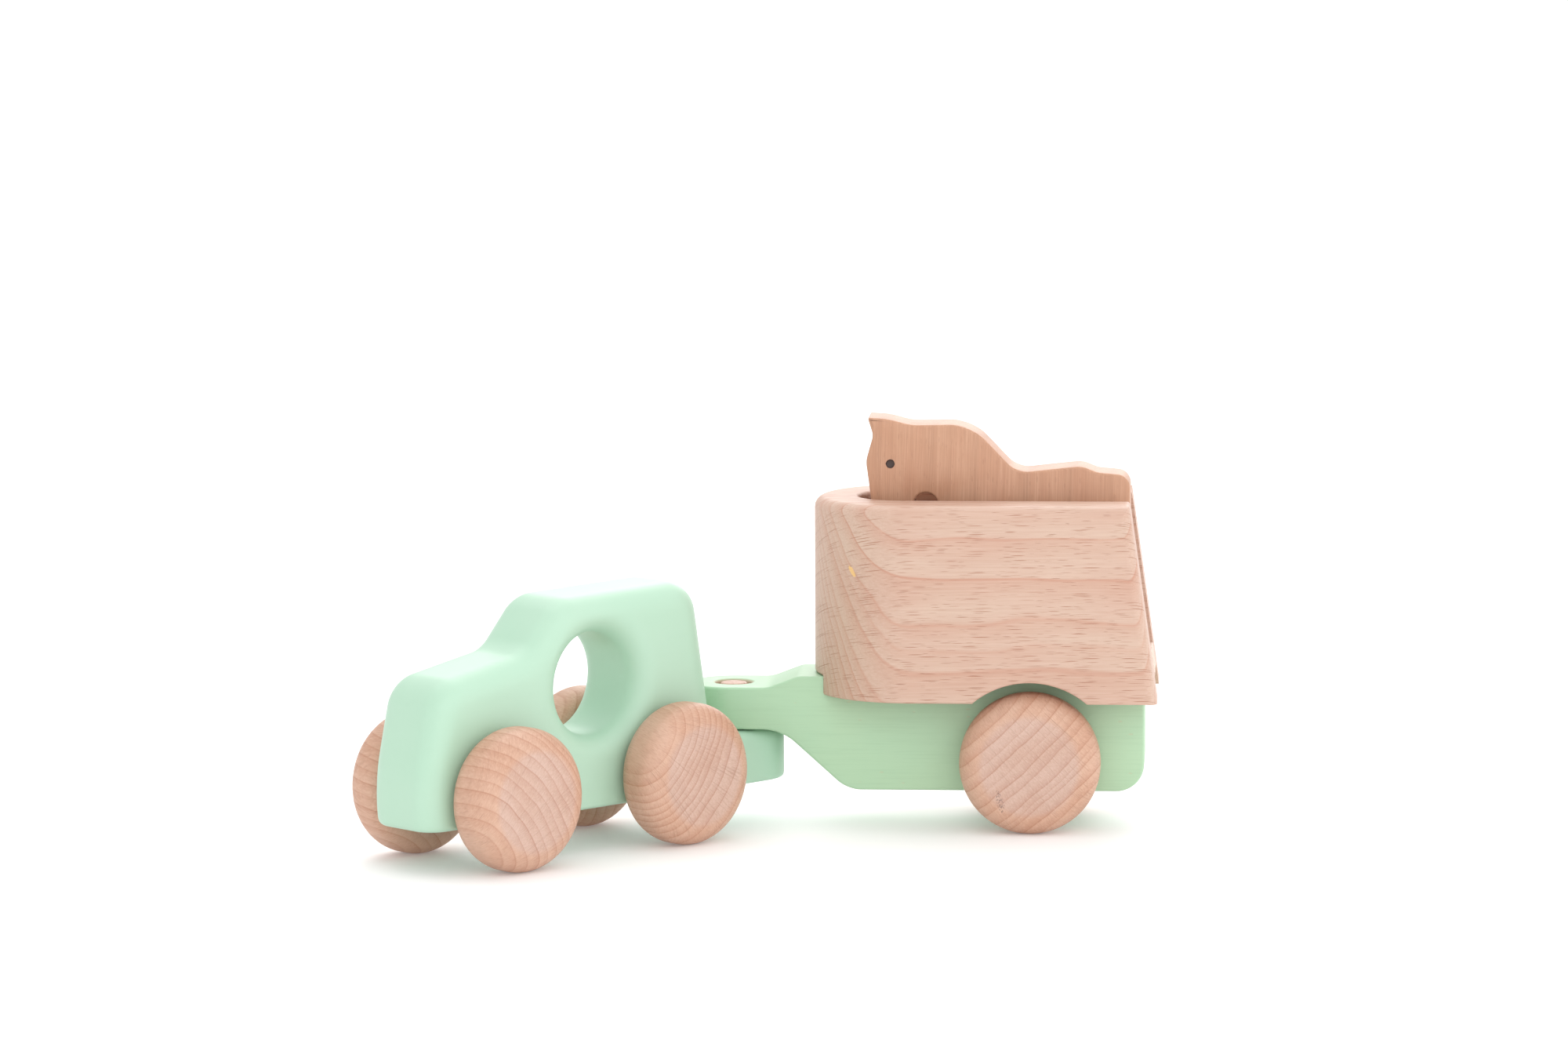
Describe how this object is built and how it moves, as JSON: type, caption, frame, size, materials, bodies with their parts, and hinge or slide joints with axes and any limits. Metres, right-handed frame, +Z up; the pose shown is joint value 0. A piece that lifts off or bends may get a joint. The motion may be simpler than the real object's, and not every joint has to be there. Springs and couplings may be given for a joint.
{
  "type": "wooden toy car with horse trailer",
  "caption": "Painted wooden push-along toy car with a round see-through window, towing a beech horse-box trailer with a loose flat horse.",
  "frame": {"origin": "on the floor under the middle of the whole toy's bounding box, as it stands hitched and turned", "axes": "+X along the trailer from its hitch pin to its open rear end, +Y across the trailer towards the side away from the car's nose, +Z up from the floor"},
  "size_m": [0.278, 0.1704, 0.1454],
  "materials": {
    "mint_paint": "satin paint over sanded beech",
    "beech": "sanded beech, thin oil",
    "beech_end_grain": "turned beech with end-grain faces, thin oil",
    "horse_wood": "sanded darker board with upright grain, thin oil",
    "dowel": "plain dowel"
  },
  "bodies": {
    "car": {"car_body": "mint_paint"},
    "front_axle_set": {"front_axle": "dowel", "front_wheel_left": "beech_end_grain", "front_wheel_right": "beech_end_grain"},
    "rear_axle_set": {"rear_axle": "dowel", "rear_wheel_left": "beech_end_grain", "rear_wheel_right": "beech_end_grain"},
    "hitch": {"hitch_pin": "dowel"},
    "trailer": {"trailer_base": "mint_paint", "trailer_box": "beech", "trailer_floor": "beech"},
    "trailer_axle_set": {"trailer_axle": "dowel", "trailer_wheel_left": "beech_end_grain", "trailer_wheel_right": "beech_end_grain"},
    "horse": {"horse": "horse_wood"}
  },
  "joints": [
    {"name": "front_axle_spin", "type": "hinge", "parent": "car", "child": "front_axle_set", "pos_m": [-0.0984, -0.04538, 0.025], "axis": [-0.7385, 0.6743, 0], "continuous": true},
    {"name": "rear_axle_spin", "type": "hinge", "parent": "car", "child": "rear_axle_set", "pos_m": [-0.0456, 0.01244, 0.025], "axis": [-0.7385, 0.6743, 0], "continuous": true},
    {"name": "hitch_swing", "type": "hinge", "parent": "car", "child": "hitch", "pos_m": [-0.0127, 0.04848, 0.0338], "axis": [0, 0, 1], "range_deg": [-47.4, 142.6]},
    {"name": "trailer_lift", "type": "slide", "parent": "hitch", "child": "trailer", "axis": [0, 0, 1], "range_m": [0, 0.03]},
    {"name": "trailer_axle_spin", "type": "hinge", "parent": "trailer", "child": "trailer_axle_set", "pos_m": [0.0941, 0.04848, 0.025], "axis": [0, 1, 0], "continuous": true},
    {"name": "horse_lift", "type": "slide", "parent": "trailer", "child": "horse", "axis": [0, 0, 1], "range_m": [0, 0.06]}
  ]
}
